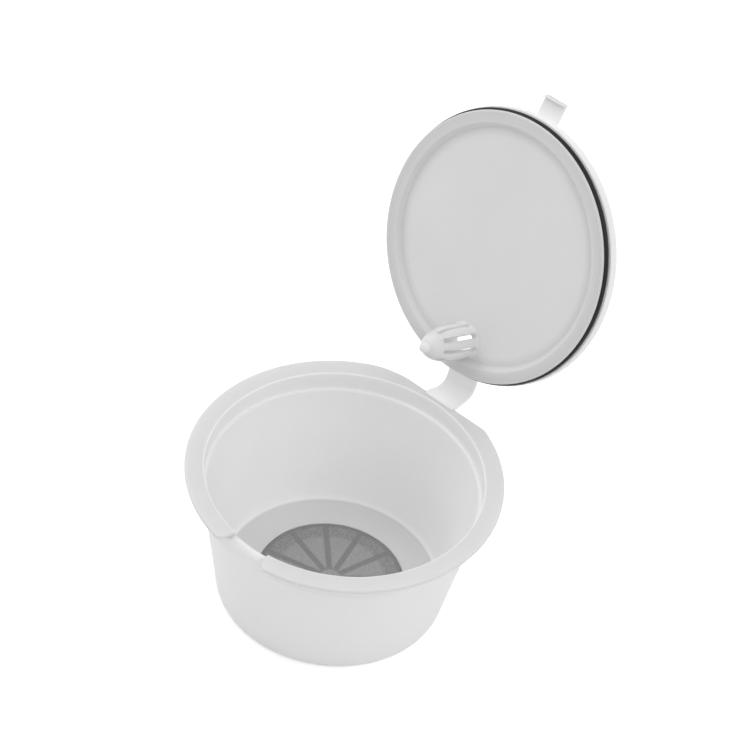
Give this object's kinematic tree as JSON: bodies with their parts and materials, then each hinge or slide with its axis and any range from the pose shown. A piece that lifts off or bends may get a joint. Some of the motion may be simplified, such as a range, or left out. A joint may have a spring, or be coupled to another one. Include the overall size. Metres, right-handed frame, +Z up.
{
  "type": "refillable coffee pod",
  "caption": "Round tapered coffee pod of frosted plastic with a steel mesh filter floor and a strap-hinged lid that has a sealing ring and a slotted nozzle cage.",
  "frame": {"origin": "middle of the cup's underside, on the surface that it stands on", "axes": "+Z up along the cup's axis, +Y towards the strap hinge, -Y towards the pull tab's notch, +X along the hinge"},
  "size_m": [0.054, 0.0781, 0.0784],
  "materials": {
    "frosted_plastic": "frosted, slightly see-through white",
    "steel_mesh": "fine woven steel",
    "black_rubber": "smooth black"
  },
  "bodies": {
    "cup_body": {"cup": "frosted_plastic", "filter_mesh": "steel_mesh"},
    "lid_body": {"lid": "frosted_plastic", "seal_ring": "black_rubber"}
  },
  "joints": [
    {"name": "lid_hinge", "type": "hinge", "parent": "cup_body", "child": "lid_body", "pos_m": [0, 0.02772, 0.02803], "axis": [-0.9967, 0, -0.0811], "range_deg": [-112.9, 62]}
  ]
}
